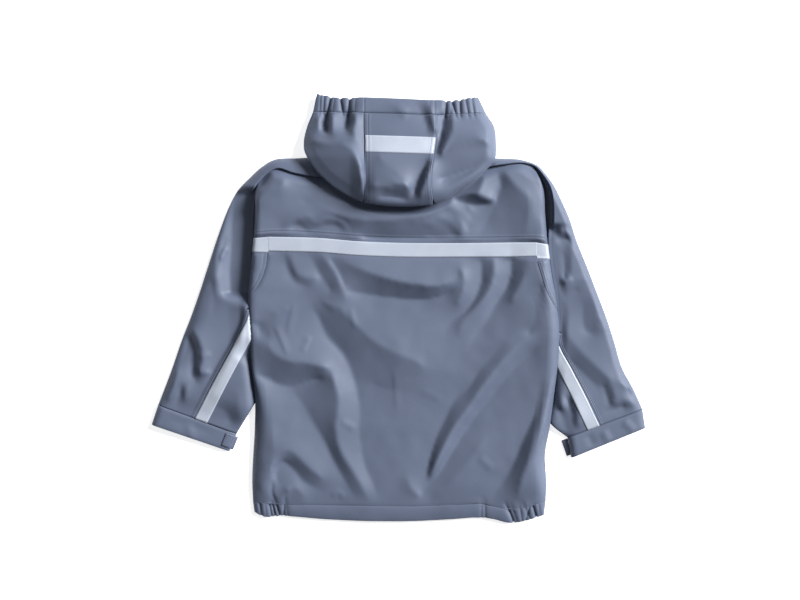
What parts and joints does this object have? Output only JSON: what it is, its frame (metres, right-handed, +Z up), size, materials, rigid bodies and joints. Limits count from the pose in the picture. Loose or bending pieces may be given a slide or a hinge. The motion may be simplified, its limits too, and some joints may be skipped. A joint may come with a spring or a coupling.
{
  "type": "child's hooded raincoat",
  "caption": "Child's waterproof coat of coated cloth with a hood and reflective tape, laid flat on the floor with its back up.",
  "frame": {"origin": "centre of the coat's footprint, on the floor that it lies on", "axes": "+X across the coat towards the wearer's right sleeve, +Y from the hem towards the hood, +Z up from the floor through the front and then the back"},
  "size_m": [0.7034, 0.6095, 0.0494],
  "materials": {
    "coated_cloth": "matte, softly sheened PU-coated cloth",
    "reflective_tape": "fine-grained silver reflective tape",
    "snap_cap": "satin"
  },
  "bodies": {
    "root": {"back": "coated_cloth", "back_tape": "reflective_tape", "cuff_left": "coated_cloth", "cuff_right": "coated_cloth", "cuff_tab_left": "coated_cloth", "cuff_tab_right": "coated_cloth", "front_left": "coated_cloth", "front_right": "coated_cloth", "gusset_left": "coated_cloth", "gusset_right": "coated_cloth", "gusset_tape_left": "reflective_tape", "gusset_tape_right": "reflective_tape", "hem_casing": "coated_cloth", "hood_casing": "coated_cloth", "hood_centre": "coated_cloth", "hood_side_left": "coated_cloth", "hood_side_right": "coated_cloth", "hood_tape": "reflective_tape", "sleeve_front_left": "coated_cloth", "sleeve_front_right": "coated_cloth", "sleeve_tape_left": "reflective_tape", "sleeve_tape_right": "reflective_tape", "snap_1": "snap_cap", "snap_2": "snap_cap", "snap_3": "snap_cap", "snap_4": "snap_cap", "snap_5": "snap_cap", "under_sleeve_left": "coated_cloth", "under_sleeve_right": "coated_cloth", "upper_sleeve_left": "coated_cloth", "upper_sleeve_right": "coated_cloth", "yoke": "coated_cloth"}
  },
  "joints": []
}
